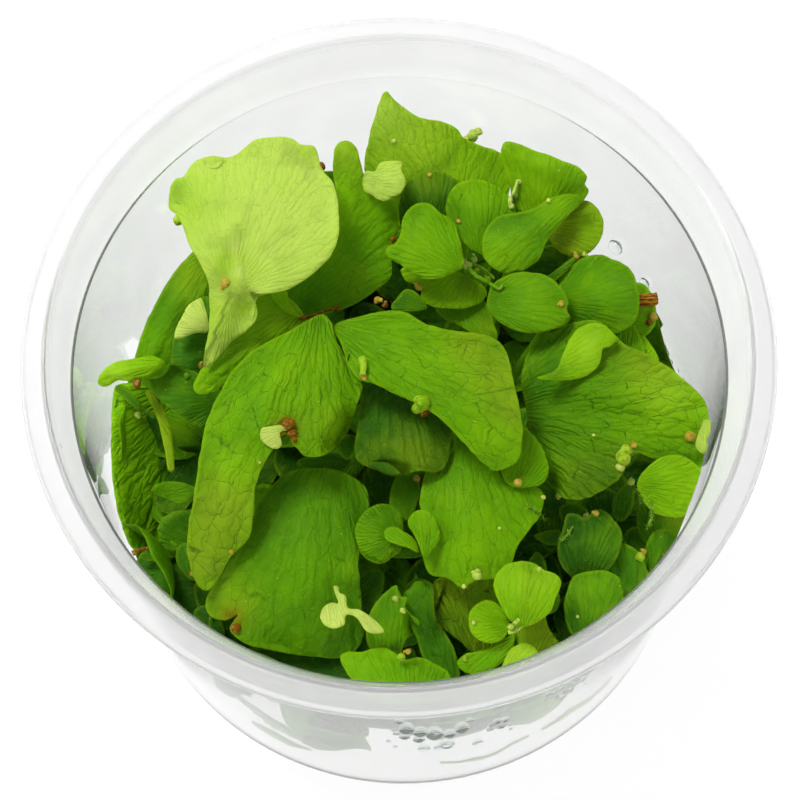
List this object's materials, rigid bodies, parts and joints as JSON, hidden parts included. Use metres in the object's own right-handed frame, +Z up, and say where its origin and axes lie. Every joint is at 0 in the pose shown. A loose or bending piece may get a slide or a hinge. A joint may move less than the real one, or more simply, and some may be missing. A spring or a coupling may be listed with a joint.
{
  "type": "water sprite plant in a pot",
  "caption": "Water sprite, a broad-leaved floating fern, with rounded lobed green fronds and small buds heaped in a clear round straight-sided pot with a stepped rim.",
  "frame": {"origin": "centre of the flat underside of the pot", "axes": "+Z up along the pot's axis, -Y toward the side that the picture was taken from, +X to the picture's right"},
  "size_m": [0.101, 0.101, 0.073],
  "materials": {
    "clear_pot": "clear, faintly milky polypropylene, smooth and glossy",
    "rootstock": "rough red-brown rootstock",
    "dry_stem": "dry, fibrous, brown",
    "leaf_pale": "satin yellow-green leaf with fine net veins",
    "leaf_bright": "satin bright green leaf with fine net veins",
    "leaf_fresh": "satin mid-green leaf with fine net veins",
    "leaf_deep": "satin deep green leaf with fine net veins",
    "leaf_shade": "satin dark green leaf",
    "leaf_olive": "satin olive leaf with strong net veins"
  },
  "bodies": {
    "root": {"crown": "rootstock", "frond_back_dark": "leaf_shade", "frond_back_finger": "leaf_fresh", "frond_back_olive": "leaf_olive", "frond_back_pointed": "leaf_bright", "frond_back_rolled": "leaf_fresh", "frond_back_round": "leaf_fresh", "frond_back_spoon": "leaf_fresh", "frond_back_yellow_round": "leaf_olive", "frond_big_lower_left": "leaf_fresh", "frond_centre_large": "leaf_fresh", "frond_centre_left": "leaf_fresh", "frond_centre_right": "leaf_fresh", "frond_centre_under": "leaf_fresh", "frond_curled_round": "leaf_fresh", "frond_front_bright": "leaf_bright", "frond_front_budded": "leaf_fresh", "frond_front_curl": "leaf_bright", "frond_front_disc": "leaf_bright", "frond_front_left": "leaf_bright", "frond_front_left_dark": "leaf_shade", "frond_front_net": "leaf_olive", "frond_front_strap": "leaf_deep", "frond_left_behind_strap": "leaf_deep", "frond_left_dark": "leaf_shade", "frond_left_pale": "leaf_bright", "frond_left_strap": "leaf_fresh", "frond_left_wall": "leaf_deep", "frond_low_1": "leaf_shade", "frond_low_2": "leaf_shade", "frond_low_3": "leaf_shade", "frond_low_4": "leaf_shade", "frond_low_5": "leaf_shade", "frond_low_left": "leaf_shade", "frond_low_left_oval": "leaf_deep", "frond_lower_centre": "leaf_bright", "frond_mid_low": "leaf_shade", "frond_right_behind": "leaf_fresh", "frond_right_bright": "leaf_bright", "frond_right_disc": "leaf_bright", "frond_right_front": "leaf_deep", "frond_right_large": "leaf_fresh", "frond_right_low": "leaf_shade", "frond_right_notched": "leaf_deep", "frond_right_olive": "leaf_deep", "frond_right_square": "leaf_fresh", "frond_right_upper": "leaf_fresh", "frond_right_wall": "leaf_deep", "frond_small_oval": "leaf_fresh", "frond_top_lobed": "leaf_pale", "frond_under_lobed": "leaf_deep", "frond_upper_flat": "leaf_fresh", "frond_upper_oval": "leaf_fresh", "frond_upper_round": "leaf_fresh", "frond_upper_triangle": "leaf_bright", "old_stem": "dry_stem", "pot": "clear_pot"}
  },
  "joints": []
}
